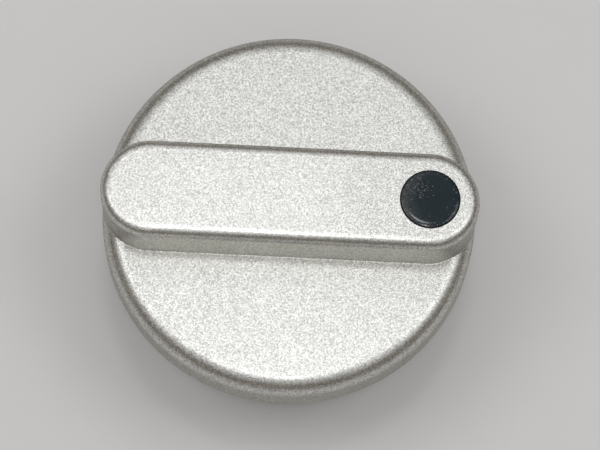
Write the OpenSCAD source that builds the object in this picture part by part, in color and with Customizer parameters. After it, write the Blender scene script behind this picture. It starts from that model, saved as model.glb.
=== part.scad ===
// Round push-on control knob with a raised grip bar, a black pointer dot let into
// one end of the bar, and a split stem behind it that a steel band closes on a D shaft.
// Millimetres. +Z points at the hand that turns the knob, and the stem stands on Z = 0.

/* [Cap] */
// Diameter of the round cap
cap_d = 42; // [34:0.5:60]
// Height of the cap, from the lower edge of its rim to its flat face
cap_h = 5.6; // [4.8:0.1:9]
// Radius of the rounded edge between the face and the rim
cap_edge_r = 2.2; // [1.9:0.1:3.6]
// Thickness of the wall under the flat face
cap_roof = 1.8; // [1.2:0.1:2.6]
// Thickness of the rim
rim_wall = 1.8; // [1.2:0.1:2.6]

/* [Grip bar] */
// Width of the bar, which is also the diameter of its round ends
bar_w = 11.1; // [10:0.1:14]
// Height of the bar above the cap's face
bar_h = 6.4; // [4:0.1:10]
// Radius of the rounded edge round the top of the bar
bar_edge_r = 1.2; // [0.4:0.1:2]
// How far each end of the bar stands back from the outside of the rim
bar_setback = 0.05; // [0.05:0.05:1]
// Thickness of the bar's side walls
bar_wall = 1.8; // [1.2:0.1:2.4]
// Thickness of the wall under the top of the bar
bar_roof = 2; // [1.6:0.1:3]

/* [Pointer dot] */
// Diameter of the dot
dot_d = 6.6; // [4:0.1:8]
// Depth of the round seat that the dot is pressed into
dot_seat = 1; // [0.6:0.1:1.2]
// How far the dot stands proud of the bar
dot_proud = 0.2; // [0.05:0.05:0.5]
// Width of the crowned zone inside the edge of the dot
dot_crown_w = 0.6; // [0.2:0.05:0.8]
// Radius across the crowned zone
dot_crown_r = 1.6; // [1.2:0.1:4]
// Diameter of the peg behind the dot
dot_peg_d = 3; // [2:0.1:3.6]
// How far the peg reaches past the inside of the bar's roof
dot_peg_reach = 1.2; // [0.4:0.1:2]

/* [Stem] */
// Diameter of the stem
stem_d = 13; // [12.5:0.5:16]
// Length of the stem below the cap's rim
stem_drop = 13; // [10:0.5:24]
// Diameter of the shaft that the knob is pushed on
shaft_d = 8; // [7:0.05:8.4]
// Thickness of the shaft across its flat
shaft_flat = 6.5; // [6:0.05:6.8]
// Room all round the shaft
shaft_clear = 0.05; // [0.02:0.01:0.1]
// Length of the round mouth of the bore, before its flat begins
mouth_h = 5; // [2:0.5:7]
// How much wider the mouth is than the bore behind it, on each side
mouth_clear = 0.25; // [0.2:0.05:0.5]
// Depth of the whole bore
bore_h = 17; // [14:0.5:20]
// Width of the slit that lets the stem close on the shaft
slit_w = 1.2; // [0.6:0.1:2]
// Height of the slit
slit_h = 10; // [6:0.5:12]

/* [Stem band] */
// Height of the steel band
band_h = 4; // [2:0.5:5]
// Thickness of the steel band
band_t = 0.6; // [0.3:0.1:1]
// Depth of the groove that the band sits in
band_groove = 0.5; // [0.2:0.1:0.8]
// Height of the groove's lower edge above the end of the stem
band_z = 3; // [1:0.5:4]
// Angle of the gap in the band
band_gap = 70; // [30:5:120]

/* [Ribs] */
// Thickness of the ribs under the cap
rib_t = 1.2; // [0.8:0.1:1.6]
// How far the ribs stand back from the lower edge of the rim
rib_setback = 0.8; // [0.4:0.1:1.5]
// Angle between a rib and the bar
rib_angle = 60; // [45:5:70]

/* [Hidden] */
// Room round a piece that is pressed into its seat
fit_clear = 0.05;
// Chamfer that leads the shaft into the bore
lead_in = 0.5;
// Edge broken at the end of the stem
stem_edge = 0.4;
// How far a cut runs past the face that it starts from
overrun = 1;
// Corner left inside the rounded edge of the cap
cap_inner_r = max(cap_edge_r - max(rim_wall, cap_roof), fit_clear);
// Corner left inside the rounded edge of the bar
bar_inner_r = bar_edge_r / 2;

cap_r = cap_d / 2;
bar_r = bar_w / 2;
stem_r = stem_d / 2;
bore_r = shaft_d / 2 + shaft_clear;
mouth_r = bore_r + mouth_clear;
rim_z = stem_drop;
face_z = rim_z + cap_h;
top_z = face_z + bar_h;
// Centres of the bar's round ends, which the dot shares
bar_end_x = cap_r - bar_setback - bar_r;
// The bar starts where the cap's rounded edge runs into the rim, so its ends land on that edge
bar_foot_z = face_z - cap_edge_r;
core_r = bar_r - bar_wall;
core_top_z = top_z - bar_roof;
seat_z = top_z - dot_seat;
dot_top_z = top_z + dot_proud;
// Plane of the bore's flat, on the side of the shaft that the dot points to
flat_x = shaft_flat - shaft_d / 2 + shaft_clear;
band_r = stem_r - band_groove + fit_clear;

$fn = 96;

// Half section of a disc whose upper edge is rounded
module disc_section(r, h, edge) {
    square([r - edge, h]);
    square([r, h - edge]);
    translate([r - edge, h - edge]) circle(edge);
}

// Disc with a rounded upper edge, standing on z
module rounded_disc(r, h, edge, z) {
    translate([0, 0, z]) rotate_extrude() intersection() {
        disc_section(r, h, edge);
        square([r, h]);
    }
}

// Disc, standing on z, whose flat top falls in an arc towards its edge
module crowned_disc(r, h, crown_w, crown_r, z) {
    translate([0, 0, z]) rotate_extrude() intersection() {
        union() {
            square([r - crown_w, h]);
            translate([r - crown_w, h - crown_r]) circle(crown_r);
        }
        square([r, h]);
    }
}

// Section across a bar whose two upper edges are rounded
module bar_section(r, h, edge) {
    translate([-r, 0]) square([2 * r, h - edge]);
    translate([edge - r, 0]) square([2 * (r - edge), h]);
    for (side = [-1, 1]) translate([side * (r - edge), h - edge]) circle(edge);
}

// Bar along X with round ends and a rounded upper edge, standing on z
module rounded_bar(r, h, edge, z) {
    translate([0, 0, z]) rotate([90, 0, 90])
        linear_extrude(2 * bar_end_x, center = true) bar_section(r, h, edge);
    for (side = [-1, 1]) translate([side * bar_end_x, 0, 0]) rounded_disc(r, h, edge, z);
}

// Cap and bar as one skin, hollow from behind
module skin() {
    difference() {
        union() {
            rounded_disc(cap_r, cap_h, cap_edge_r, rim_z);
            rounded_bar(bar_r, top_z - bar_foot_z, bar_edge_r, bar_foot_z);
        }
        rounded_disc(cap_r - rim_wall, cap_h - cap_roof + overrun, cap_inner_r, rim_z - overrun);
        rounded_bar(core_r, core_top_z - rim_z, bar_inner_r, rim_z);
    }
}

// Stem up to the cap, and its narrower core inside the bar
module stem() {
    cylinder(r1 = stem_r - stem_edge, r2 = stem_r, h = stem_edge);
    translate([0, 0, stem_edge]) cylinder(r = stem_r, h = face_z - cap_roof / 2 - stem_edge);
    cylinder(r = bar_r - bar_wall / 2, h = top_z - bar_roof / 2);
}

// Webs from the stem to the rim, which run half a wall into the face and the rim
module ribs() {
    intersection() {
        rounded_disc(cap_r - rim_wall / 2, cap_h - cap_roof / 2, cap_edge_r - rim_wall / 2, rim_z);
        for (side = [-1, 1], end = [-1, 1])
            rotate(side * (90 + end * (90 - rib_angle)))
                translate([stem_r - rim_wall / 2, -rib_t / 2, rim_z + rib_setback])
                    cube([cap_r, rib_t, cap_h]);
    }
}

// Space of the D shaft: a round mouth with a lead-in, then a bore with a flat
module shaft_bore() {
    translate([0, 0, -overrun]) cylinder(r = mouth_r, h = mouth_h + overrun);
    translate([0, 0, -overrun])
        cylinder(r1 = mouth_r + lead_in + overrun, r2 = mouth_r, h = lead_in + overrun);
    intersection() {
        cylinder(r = bore_r, h = bore_h);
        translate([-bore_r, -bore_r, 0]) cube([bore_r + flat_x, 2 * bore_r, bore_h]);
    }
}

// Slit through the flat side of the stem
module stem_slit() {
    translate([0, -slit_w / 2, -overrun]) cube([stem_r + overrun, slit_w, slit_h + overrun]);
}

// Ring-shaped groove round the stem
module groove() {
    translate([0, 0, band_z]) difference() {
        cylinder(r = stem_r + overrun, h = band_h + 2 * fit_clear);
        cylinder(r = stem_r - band_groove, h = band_h + 2 * fit_clear);
    }
}

// Seat in the bar for the dot, and the hole for its peg
module dot_recess() {
    translate([bar_end_x, 0, seat_z]) cylinder(d = dot_d + 2 * fit_clear, h = dot_seat + overrun);
    translate([bar_end_x, 0, core_top_z - overrun])
        cylinder(d = dot_peg_d + 2 * fit_clear, h = bar_roof + overrun);
}

module knob_body() {
    color("#c9c6c0") difference() {
        union() {
            skin();
            stem();
            ribs();
        }
        shaft_bore();
        stem_slit();
        groove();
        dot_recess();
    }
}

module pointer_dot() {
    color("#20242a") translate([bar_end_x, 0, 0]) {
        crowned_disc(dot_d / 2, dot_top_z - seat_z, dot_crown_w, dot_crown_r, seat_z);
        translate([0, 0, core_top_z - dot_peg_reach])
            cylinder(d = dot_peg_d, h = seat_z - core_top_z + dot_peg_reach);
    }
}

module stem_band() {
    color("#a8abb0") translate([0, 0, band_z + fit_clear]) rotate(180 + band_gap / 2)
        rotate_extrude(angle = 360 - band_gap) translate([band_r, 0]) square([band_t, band_h]);
}

knob_body();
pointer_dot();
stem_band();
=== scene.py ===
# %% [markdown]
# A push-on control knob, dressed for a studio picture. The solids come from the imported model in
# metres: the moulded body, the black dot that shows where the knob points, and the steel band
# round the stem. They already have their true shape, so this lesson leaves their meshes alone
# and works on what a camera sees: where it stands, the light, and the finish of each surface.

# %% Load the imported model
import math
import bmesh
import bpy
from mathutils import Matrix, Vector


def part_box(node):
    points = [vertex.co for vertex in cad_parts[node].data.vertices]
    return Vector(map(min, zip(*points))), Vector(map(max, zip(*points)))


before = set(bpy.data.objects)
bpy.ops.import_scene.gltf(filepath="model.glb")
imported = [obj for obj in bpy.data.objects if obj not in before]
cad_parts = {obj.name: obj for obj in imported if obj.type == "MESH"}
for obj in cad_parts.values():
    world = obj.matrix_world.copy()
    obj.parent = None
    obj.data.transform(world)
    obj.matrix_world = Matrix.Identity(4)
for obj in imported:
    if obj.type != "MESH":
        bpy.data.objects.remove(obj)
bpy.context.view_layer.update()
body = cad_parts["knob_body"]
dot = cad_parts["pointer_dot"]
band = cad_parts["stem_band"]
MM = 0.001
print("pieces:", sorted(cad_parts))

# %% [markdown]
# The finishes need a few sizes of the moulding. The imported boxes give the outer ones. The steps
# inside the outline, such as the height of the bar above the round face, are written here once.

# %% Sizes that the camera and the finishes share
body_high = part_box("knob_body")[1]
cap_radius = body_high.y
bar_top = body_high.z
bar_height = 6.4 * MM
face_height = bar_top - bar_height
bar_half_width = 5.55 * MM
wall = 1.8 * MM
dot_low, dot_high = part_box("pointer_dot")
dot_centre = (dot_low + dot_high) / 2
dot_radius = (dot_high - dot_low).x / 2
bar_end = dot_centre.x
print("face at", round(face_height / MM, 2), "mm, bar's round ends at", round(bar_end / MM, 2), "mm")

# %% [markdown]
# A picture matches its photograph only if the camera stands where the photographer's did. Two
# things fix it: how flat the circles look gives the tilt, and how much the near rim outgrows the
# far rim gives the distance. The lens then follows from the knob's width in the picture. The
# camera looks down on the face, a little from the front, and is rolled a few degrees.

# %% Where the photographer stood
picture_width = 600
picture_height = 450
focal_length_px = 2811
face_centre_px = (289.24, 209.36)
camera_distance = 315 * MM
tilt = math.radians(16.905)
yaw = math.radians(0.923)
roll = math.radians(-3.658)


def aim_camera(target):
    """Matrix of a camera that sees the target at its own place in the picture."""
    back = Vector((-math.sin(yaw) * math.sin(tilt), -math.cos(yaw) * math.sin(tilt), math.cos(tilt)))
    level = Vector((math.cos(yaw), -math.sin(yaw), 0))
    upright = back.cross(level)
    right = level * math.cos(roll) - upright * math.sin(roll)
    up = level * math.sin(roll) + upright * math.cos(roll)
    pan = math.atan((face_centre_px[0] - picture_width / 2) / focal_length_px)
    lift = math.atan((picture_height / 2 - face_centre_px[1]) / focal_length_px)
    ahead = -back
    panned = ahead * math.cos(pan) - right * math.sin(pan)
    right = right * math.cos(pan) + ahead * math.sin(pan)
    lifted = panned * math.cos(lift) - up * math.sin(lift)
    up = up * math.cos(lift) + panned * math.sin(lift)
    turn = Matrix((right, up, -lifted)).transposed().to_4x4()
    return Matrix.Translation(target + back * camera_distance) @ turn


face_centre = Vector((0, 0, face_height))
print("camera", round(camera_distance / MM), "mm from the face")

# %% [markdown]
# The camera itself is an object with a lens. Blender counts a lens in millimetres on a sensor, so
# the focal length in pixels of the picture is scaled to the sensor's width.

# %% Camera
scene = bpy.context.scene
camera_data = bpy.data.cameras.new("camera")
camera_data.sensor_width = 36
camera_data.lens = focal_length_px * camera_data.sensor_width / picture_width
camera_data.clip_start = 10 * MM
camera = bpy.data.objects.new("camera", camera_data)
camera.matrix_world = aim_camera(face_centre)
scene.collection.objects.link(camera)
scene.camera = camera
print("lens", round(camera_data.lens, 1), "mm")

# %% [markdown]
# A satin metal shows its surroundings more than its own colour, so the light is built as a room.
# A gradient round the scene is enough for it: a ceiling that is bright overhead and falls off to
# grey walls. The flat faces mirror the ceiling, and the rounded edges mirror the walls and turn
# dark. The gradient follows the cosine of the angle from overhead, which a dot product gives.

# %% Room
scene.view_settings.view_transform = "Standard"
world = bpy.data.worlds.new("room")
scene.world = world
world.use_nodes = True
room = world.node_tree
ceiling_lean = math.radians(2)
heading = room.nodes.new("ShaderNodeTexCoord")
towards_ceiling = room.nodes.new("ShaderNodeVectorMath")
towards_ceiling.operation = "DOT_PRODUCT"
towards_ceiling.inputs[1].default_value = (0, math.sin(ceiling_lean), math.cos(ceiling_lean))
ceiling = room.nodes.new("ShaderNodeValToRGB")
room.links.new(heading.outputs["Generated"], towards_ceiling.inputs[0])
room.links.new(towards_ceiling.outputs["Value"], ceiling.inputs["Fac"])
room.links.new(ceiling.outputs["Color"], room.nodes["Background"].inputs["Color"])
WALL_GREY = (0.116, 0.09, 0.064, 1)
CEILING_WHITE = (0.54, 0.54, 0.53, 1)
wall_stop, ceiling_stop = ceiling.color_ramp.elements
wall_stop.position = 0.5
wall_stop.color = WALL_GREY
ceiling_stop.position = 0.66
ceiling_stop.color = CEILING_WHITE
for stop_name, stop in (("walls", wall_stop), ("ceiling", ceiling_stop)):
    print(stop_name, round(math.degrees(math.acos(stop.position))), "degrees from overhead")

# %% [markdown]
# Two round softboxes and three wide, dim panels hang in the room. One strong softbox would burn
# the faces out when they are seen from above, so its light is split: the top one makes the
# faces brighter towards the front, and the front one draws the white lines along the front
# edges. The panels behind the knob and at its sides hold the other edges bright until they
# turn well away.

# %% Softboxes and panels
# Name, metres across, watts, and place in metres
LAMPS = (
    ("top_softbox", 0.1, 0.27, (-0.005, 0.09, 0.7)),
    ("front_softbox", 0.1, 0.46, (-0.005, -0.18, 0.67)),
    ("rear_panel", 0.34, 0.1, (0, 0.36, 0.6)),
    ("left_panel", 0.3, 0.46, (-0.34, 0.02, 0.6)),
    ("right_panel", 0.3, 0.46, (0.34, 0.02, 0.6)),
)
for lamp_name, across, watts, place in LAMPS:
    lamp_data = bpy.data.lights.new(lamp_name, "AREA")
    lamp_data.shape = "DISK"
    lamp_data.size = across
    lamp_data.energy = watts
    lamp = bpy.data.objects.new(lamp_name, lamp_data)
    lamp.location = place
    lamp.rotation_euler = lamp.location.to_track_quat("Z", "Y").to_euler()
    scene.collection.objects.link(lamp)
    print(lamp_name, across, "m across,", watts, "W")

# %% [markdown]
# Materials are networks of nodes. A few small helpers keep the networks readable: one starts a
# material, one adds a node and fills its sockets with numbers or with the outputs of other nodes,
# and two make what every finish here needs, a cloudy noise and a colour between two others.

# %% Helpers for node networks
def new_finish(name):
    """A material with its shader, and the object's own coordinates, which stay put on the part."""
    material = bpy.data.materials.new(name)
    material.use_nodes = True
    place = material.node_tree.nodes.new("ShaderNodeTexCoord").outputs["Object"]
    return material, material.node_tree.nodes["Principled BSDF"], place


def fill(material, socket, value):
    """Gives a socket a fixed value, or links another node's output to it."""
    if isinstance(value, bpy.types.NodeSocket):
        material.node_tree.links.new(value, socket)
    else:
        socket.default_value = value


def add(material, kind, values, settings=()):
    """A new node of that kind, with its sockets filled and its settings made."""
    made = material.node_tree.nodes.new("ShaderNode" + kind)
    for setting, choice in dict(settings).items():
        setattr(made, setting, choice)
    for socket, value in values.items():
        fill(material, made.inputs[socket], value)
    return made


def noise(material, place, size, detail=2.0):
    """Cloudy noise from 0 to 1, whose blotches are about that size in metres."""
    values = {"Vector": place, "Scale": 1 / size, "Detail": detail}
    return add(material, "TexNoise", values).outputs["Fac"]


def blend_colours(material, share, one, two):
    """A colour between two, the second where the share is 1."""
    mixed = add(material, "Mix", {}, {"data_type": "RGBA"})
    # The node has sockets for each kind of data, and these are the ones for colours
    for socket, value in ((mixed.inputs[0], share), (mixed.inputs[6], one), (mixed.inputs[7], two)):
        fill(material, socket, value)
    return mixed.outputs[2]


print("helpers ready")

# %% [markdown]
# The floor is a pale matt sheet. A large disc is enough, and a trace of tone keeps it from
# looking like an empty background.

# %% Floor
floor_radius = 2.5
tone_size = 6 * MM
PAPER_LIGHT = (0.78, 0.78, 0.78, 1)
PAPER_DARK = (0.76, 0.76, 0.765, 1)
floor_mesh = bpy.data.meshes.new("floor")
floor = bpy.data.objects.new("floor", floor_mesh)
scene.collection.objects.link(floor)
floor_shape = bmesh.new()
bmesh.ops.create_circle(floor_shape, cap_ends=True, segments=96, radius=floor_radius)
floor_shape.to_mesh(floor_mesh)
floor_shape.free()
paper, paper_shader, paper_place = new_finish("pale_floor")
tone = noise(paper, paper_place, tone_size)
fill(paper, paper_shader.inputs["Base Color"], blend_colours(paper, tone, PAPER_LIGHT, PAPER_DARK))
paper_shader.inputs["Roughness"].default_value = 0.9
floor_mesh.materials.append(paper)
print("floor", round(floor_mesh.polygons[0].area, 1), "square metres")

# %% [markdown]
# The silver finish is a metallic lacquer over plastic, and it depends on where a point lies on
# the moulding. Such masks are sums on coordinates, so four more helpers do a sum, move a value
# to another range, say whether it is under a limit, and measure from an upright axis.

# %% Helpers for masks
# Noise runs from 0 to 1, but most of it lies between these two
NOISE_LOW = 0.3
NOISE_HIGH = 0.7


def sum_of(material, operation, one, two=0.0):
    """The result of one arithmetic step on two values."""
    return add(material, "Math", {0: one, 1: two}, {"operation": operation}).outputs[0]


def stretch(material, value, from_low, from_high, to_low=0.0, to_high=1.0):
    """A value moved from one range to another and held inside it."""
    values = {"Value": value, "From Min": from_low, "From Max": from_high}
    values.update({"To Min": to_low, "To Max": to_high})
    return add(material, "MapRange", values).outputs[0]


def below(material, value, limit, soft):
    """1 where the value is under the limit, and 0 past it, with a soft edge."""
    return stretch(material, value, limit - soft, limit + soft, 1.0, 0.0)


def radius_of(material, x, y):
    """Distance from an upright axis."""
    x_squared = sum_of(material, "MULTIPLY", x, x)
    y_squared = sum_of(material, "MULTIPLY", y, y)
    return sum_of(material, "SQRT", sum_of(material, "ADD", x_squared, y_squared))


print("most of the noise lies from", NOISE_LOW, "to", NOISE_HIGH)

# %% [markdown]
# The spray comes from the front, so the hollow behind the face stays bare grey plastic, with a
# ragged edge of overspray on the rim. A second material on the hidden faces would end in a
# straight line, so one material measures how deep inside the cap or the bar each point lies, and
# noise frays the border.

# %% Where the lacquer ends
fray = 0.3 * MM
fray_size = 0.6 * MM
silver, silver_shader, silver_place = new_finish("satin_silver_lacquer")
axes = add(silver, "SeparateXYZ", {0: silver_place}).outputs
frayed = noise(silver, silver_place, fray_size, detail=4)
ragged = stretch(silver, frayed, NOISE_LOW, NOISE_HIGH, -fray, fray)
sprayed_radius = sum_of(silver, "ADD", radius_of(silver, axes["X"], axes["Y"]), ragged)
along_bar = sum_of(silver, "ABSOLUTE", axes["X"])
past_bar_end = sum_of(silver, "MAXIMUM", sum_of(silver, "SUBTRACT", along_bar, bar_end))
bar_radius = radius_of(silver, past_bar_end, axes["Y"])
inside_rim = below(silver, sprayed_radius, cap_radius - wall / 2, wall / 4)
under_face = below(silver, axes["Z"], face_height - wall / 2, wall / 8)
between_bar_walls = below(silver, bar_radius, bar_half_width - wall / 2, wall / 8)
under_bar_top = below(silver, axes["Z"], bar_top - wall / 2, wall / 8)
inside_cap = sum_of(silver, "MULTIPLY", inside_rim, under_face)
inside_bar = sum_of(silver, "MULTIPLY", between_bar_walls, under_bar_top)
bare = sum_of(silver, "MAXIMUM", inside_cap, inside_bar)
print("lacquer ends", round((cap_radius - wall / 2) / MM, 2), "mm from the axis")

# %% [markdown]
# Painted light: the top of the bar is painted lighter, but hardly the end with the dot. So a mask
# grows towards the top of the bar and with the distance from the dot, and the lacquer is painted
# lighter where it is 1.

# %% Painted light on the top of the bar
def vector_step(material, operation, values):
    """The outputs of one step on places or directions."""
    return add(material, "VectorMath", values, {"operation": operation}).outputs


def distance_from(material, place, point):
    """Distance of each point of the surface from one fixed point, seen from above."""
    level = vector_step(material, "MULTIPLY", {0: place, 1: (1, 1, 0)})["Vector"]
    return vector_step(material, "DISTANCE", {0: level, 1: (point.x, point.y, 0)})["Value"]


# Painted light: this mask paints the top of the bar lighter, away from the dot
painted_light_starts = 8.5 * MM
painted_light_full = 13 * MM
on_top = stretch(silver, axes["Z"], bar_top - bar_height / 4, bar_top)
from_dot = distance_from(silver, silver_place, dot_centre)
clear_of_dot = stretch(silver, from_dot, painted_light_starts, painted_light_full)
painted_bar_top_light = sum_of(silver, "MULTIPLY", on_top, clear_of_dot)
print("painted_lighter from", round(painted_light_starts / MM, 1), "mm off the dot's centre")

# %% [markdown]
# The lacquer holds tiny flakes that each lie their own way. Noise would give soft clouds, but
# flakes have outlines, so random cells of about a ninth of a millimetre stand for them, and each
# cell draws its own grey. The bare plastic behind is a darker grey with soft clouds.

# %% Colours of the flakes and of the bare plastic
flake_size = 0.11 * MM
cloud_size = 5 * MM
FLAKE_DARK = (0.385, 0.385, 0.37, 1)
FLAKE_LIGHT = (0.925, 0.925, 0.905, 1)
# Lighter flake colours for the painted light on the top of the bar
PAINTED_LIT_FLAKE_DARK = (0.455, 0.455, 0.442, 1)
PAINTED_LIT_FLAKE_LIGHT = (0.97, 0.97, 0.955, 1)
BARE_DARK = (0.17, 0.17, 0.175, 1)
BARE_LIGHT = (0.23, 0.23, 0.235, 1)
flake_cells = add(silver, "TexVoronoi", {"Vector": silver_place, "Scale": 1 / flake_size})
flake = flake_cells.outputs["Color"]
flake_draw = add(silver, "SeparateColor", {0: flake}).outputs["Red"]
cloud = noise(silver, silver_place, cloud_size, detail=3)
# The flakes take the lighter colours where the painted light mask is 1
painted_lit_dark = blend_colours(silver, painted_bar_top_light, FLAKE_DARK, PAINTED_LIT_FLAKE_DARK)
painted_lit_light = blend_colours(silver, painted_bar_top_light, FLAKE_LIGHT, PAINTED_LIT_FLAKE_LIGHT)
flakes = blend_colours(silver, flake_draw, painted_lit_dark, painted_lit_light)
bare_grey = blend_colours(silver, cloud, BARE_DARK, BARE_LIGHT)
fill(silver, silver_shader.inputs["Base Color"], blend_colours(silver, bare, flakes, bare_grey))
print("lacquer flakes", round(flake_size / MM, 2), "mm")

# %% [markdown]
# The lacquer is metal to the light, and the bare plastic isn't. A thin clear coat lies over the
# flakes. Seen at a shallow angle the lacquer turns darker and browner than a bare metal would,
# and the shader's tint for grazing light does that. It holds from any side.

# %% Gloss of the lacquer
satin_low = 0.4
satin_high = 0.42
plastic_extra = 0.25
GRAZING_TINT = (0.28, 0.262, 0.185, 1)
satin = stretch(silver, cloud, NOISE_LOW, NOISE_HIGH, satin_low, satin_high)
matt_plastic = sum_of(silver, "MULTIPLY", bare, plastic_extra)
fill(silver, silver_shader.inputs["Metallic"], sum_of(silver, "SUBTRACT", 1.0, bare))
fill(silver, silver_shader.inputs["Roughness"], sum_of(silver, "ADD", satin, matt_plastic))
silver_shader.inputs["Specular Tint"].default_value = GRAZING_TINT
silver_shader.inputs["Coat Weight"].default_value = 0.4
silver_shader.inputs["Coat Roughness"].default_value = 0.2
print("lacquer roughness", satin_low, "to", satin_high)

# %% [markdown]
# Each flake also leans its own way, so its cell's colour tips the surface a little. Where two
# faces meet, as at the foot of the bar, the moulding has a corner too small to model, so the
# shader rounds it. The rounding fades out towards the top of the bar, because it would draw a
# dark ring round the dot's seat.

# %% Tilt of the flakes and small corners
flake_tilt = 0.05
corner_radius = 0.25 * MM
MIDDLE_GREY = (0.5, 0.5, 0.5)
centred = vector_step(silver, "SUBTRACT", {0: flake, 1: MIDDLE_GREY})["Vector"]
lean = vector_step(silver, "SCALE", {0: centred, "Scale": flake_tilt})["Vector"]
corner = sum_of(silver, "MULTIPLY", sum_of(silver, "SUBTRACT", 1.0, on_top), corner_radius)
surface = add(silver, "Bevel", {"Radius": corner}, {"samples": 8}).outputs["Normal"]
leaning = vector_step(silver, "ADD", {0: surface, 1: lean})["Vector"]
tipped = vector_step(silver, "NORMALIZE", {0: leaning})["Vector"]
fill(silver, silver_shader.inputs["Normal"], tipped)
body.data.materials[0] = silver
print("corners of", round(corner_radius / MM, 2), "mm on", body.name)

# %% [markdown]
# The dot is black plastic, and handling leaves its mark: pale specks of about a tenth of a
# millimetre sit in one worn patch and along the edge. They are too many to place one by one, so
# random cells give them: each cell draws a number, and masks of distance say how low it must be
# for a speck to show there.

# %% Specks on the dot
speck_spacing = 0.13 * MM
speck_reach = 0.4
speck_soft = 0.2
patch_radius = 0.9 * MM
patch_fade = 0.8 * MM
edge_dust_starts = dot_radius - 0.9 * MM
edge_dust_full = dot_radius - 0.4 * MM
edge_share = 0.3
stray_share = 0.03
speck_chance = 0.4
worn_patch = dot_centre + Vector((-1.5 * MM, 1.3 * MM, 0))
black, black_shader, black_place = new_finish("black_half_gloss_plastic")
speck = add(black, "TexVoronoi", {"Vector": black_place, "Scale": 1 / speck_spacing}).outputs
speck_draw = add(black, "SeparateColor", {0: speck["Color"]}).outputs["Red"]
speck_core = below(black, speck["Distance"], speck_reach, speck_soft)
from_patch = distance_from(black, black_place, worn_patch)
in_patch = below(black, from_patch, patch_radius, patch_fade)
from_middle = distance_from(black, black_place, dot_centre)
near_edge = stretch(black, from_middle, edge_dust_starts, edge_dust_full, 0.0, edge_share)
speck_share = sum_of(black, "ADD", sum_of(black, "MAXIMUM", in_patch, near_edge), stray_share)
speck_limit = sum_of(black, "MULTIPLY", speck_share, speck_chance)
speck_chosen = sum_of(black, "LESS_THAN", speck_draw, speck_limit)
specks = sum_of(black, "MULTIPLY", speck_core, speck_chosen)
print("specks", round(speck_spacing / MM, 2), "mm apart")

# %% [markdown]
# A fine, lighter haze lies on one side of the dot. An even grey would look like paint, so the haze
# grows with the distance from a point on the other side, and the cells' own draws make it uneven.

# %% Haze on the dot
haze_starts = 3.2 * MM
haze_full = 5 * MM
haze_most = 0.4
# The haze makes the side of the dot away from this point lighter
haze_free_side = dot_centre + Vector((1.8 * MM, 0.2 * MM, 0))
from_haze_free_side = distance_from(black, black_place, haze_free_side)
hazy_side = stretch(black, from_haze_free_side, haze_starts, haze_full, 0.0, haze_most)
haze = sum_of(black, "MULTIPLY", hazy_side, speck_draw)
specks_and_haze = sum_of(black, "MAXIMUM", specks, haze)
print("haze from", round(haze_starts / MM, 1), "mm off the haze_free side")

# %% [markdown]
# The plastic has a half gloss, and the crowned edge of the dot catches a thin glint. Its
# outermost edge is matt, and its colour there is painted near black as painted shade, like the
# shaded groove round it. Gloss and colour follow the distance from the dot's centre, and a weak
# bump breaks up the reflections.

# %% Black plastic of the dot
gloss_low = 0.12
gloss_high = 0.17
edge_matt = 0.8
matt_and_shade_starts = dot_radius - 0.16 * MM
matt_and_shade_full = dot_radius - 0.08 * MM
blotch_size = 0.8 * MM
grain_size = 0.2 * MM
grain_depth = 0.02 * MM
BLACK = (0.003, 0.014, 0.021, 1)
# Grey of the specks, and of the lighter haze on one side
SPECK_AND_HAZE_GREY = (0.24, 0.235, 0.23, 1)
# Painted shade: the outermost edge of the dot is painted near black
PAINTED_SHADE_BLACK = (0.001, 0.001, 0.001, 1)
# This edge mask paints the colour darker as painted shade, and also makes the plastic matt
matt_and_shaded_edge = stretch(black, from_middle, matt_and_shade_starts, matt_and_shade_full)
specked_and_hazy = blend_colours(black, specks_and_haze, BLACK, SPECK_AND_HAZE_GREY)
fill(black, black_shader.inputs["Base Color"], blend_colours(black, matt_and_shaded_edge, specked_and_hazy, PAINTED_SHADE_BLACK))
uneven = noise(black, black_place, blotch_size, detail=3)
gloss = stretch(black, uneven, NOISE_LOW, NOISE_HIGH, gloss_low, gloss_high)
matt = sum_of(black, "MULTIPLY", matt_and_shaded_edge, edge_matt)
fill(black, black_shader.inputs["Roughness"], sum_of(black, "ADD", gloss, matt))
black_shader.inputs["Specular IOR Level"].default_value = 0.35
fine_grain = noise(black, black_place, grain_size)
black_bump = add(black, "Bump", {"Height": fine_grain, "Strength": 0.1, "Distance": grain_depth})
fill(black, black_shader.inputs["Normal"], black_bump.outputs[0])
dot.data.materials[0] = black
print("dot", round(2 * dot_radius / MM, 2), "mm across")

# %% [markdown]
# The band is rolled spring steel. Rolling leaves fine lines along the strip, so the noise is
# squeezed across the strip and drawn out along it.

# %% Spring steel of the band
line_squeeze = 40
line_size = 4 * MM
smooth_steel = 0.25
rough_steel = 0.4
line_depth = 0.01 * MM
STEEL_DARK = (0.42, 0.425, 0.435, 1)
STEEL_LIGHT = (0.64, 0.645, 0.65, 1)
steel, steel_shader, steel_place = new_finish("rolled_spring_steel")
squeezed = add(steel, "Mapping", {"Vector": steel_place, "Scale": (1, 1, line_squeeze)}).outputs[0]
lines = noise(steel, squeezed, line_size, detail=3)
fill(steel, steel_shader.inputs["Base Color"], blend_colours(steel, lines, STEEL_DARK, STEEL_LIGHT))
steel_shader.inputs["Metallic"].default_value = 1.0
steel_roughness = stretch(steel, lines, NOISE_LOW, NOISE_HIGH, smooth_steel, rough_steel)
fill(steel, steel_shader.inputs["Roughness"], steel_roughness)
line_bump = add(steel, "Bump", {"Height": lines, "Strength": 0.15, "Distance": line_depth})
fill(steel, steel_shader.inputs["Normal"], line_bump.outputs[0])
band.data.materials[0] = steel
print("band lines", round(line_size / line_squeeze / MM, 2), "mm apart")
